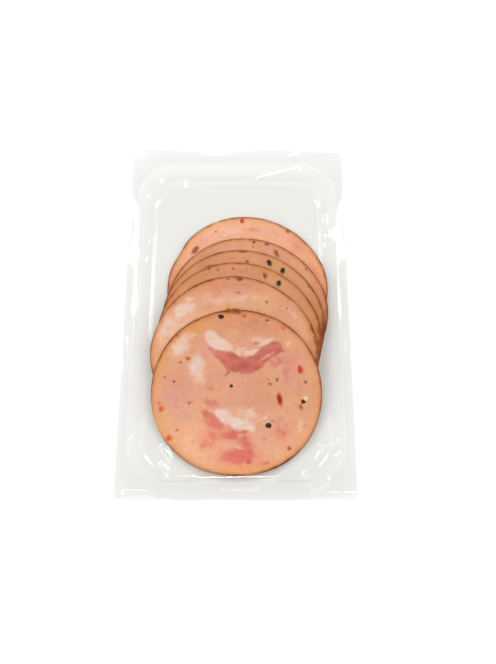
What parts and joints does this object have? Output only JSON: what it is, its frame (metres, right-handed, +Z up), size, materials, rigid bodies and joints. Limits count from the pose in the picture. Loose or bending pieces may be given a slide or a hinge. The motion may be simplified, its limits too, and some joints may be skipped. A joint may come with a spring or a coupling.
{
  "type": "sealed pack of sliced ham",
  "caption": "Clear shallow tray with rounded corners and a wide sealing flange, shut by a clear film, holding round ham slices shingled along its length.",
  "frame": {"origin": "middle of the tray's flat underside, which is the bottom centre of the whole pack", "axes": "+X across the pack, +Y along the pack from the whole front slice towards the far end, +Z up through the lid film"},
  "size_m": [0.135, 0.23, 0.0182],
  "materials": {
    "clear_tray": "clear thermoformed sheet, glossy",
    "clear_film": "clear flexible film, glossy",
    "ham": "cooked sliced meat, moist and softly marbled, satin"
  },
  "bodies": {
    "root": {"tray": "clear_tray", "lid_film": "clear_film", "ham_slice_1": "ham", "ham_slice_2": "ham", "ham_slice_3": "ham", "ham_slice_4": "ham", "ham_slice_5": "ham", "ham_slice_6": "ham"}
  },
  "joints": []
}
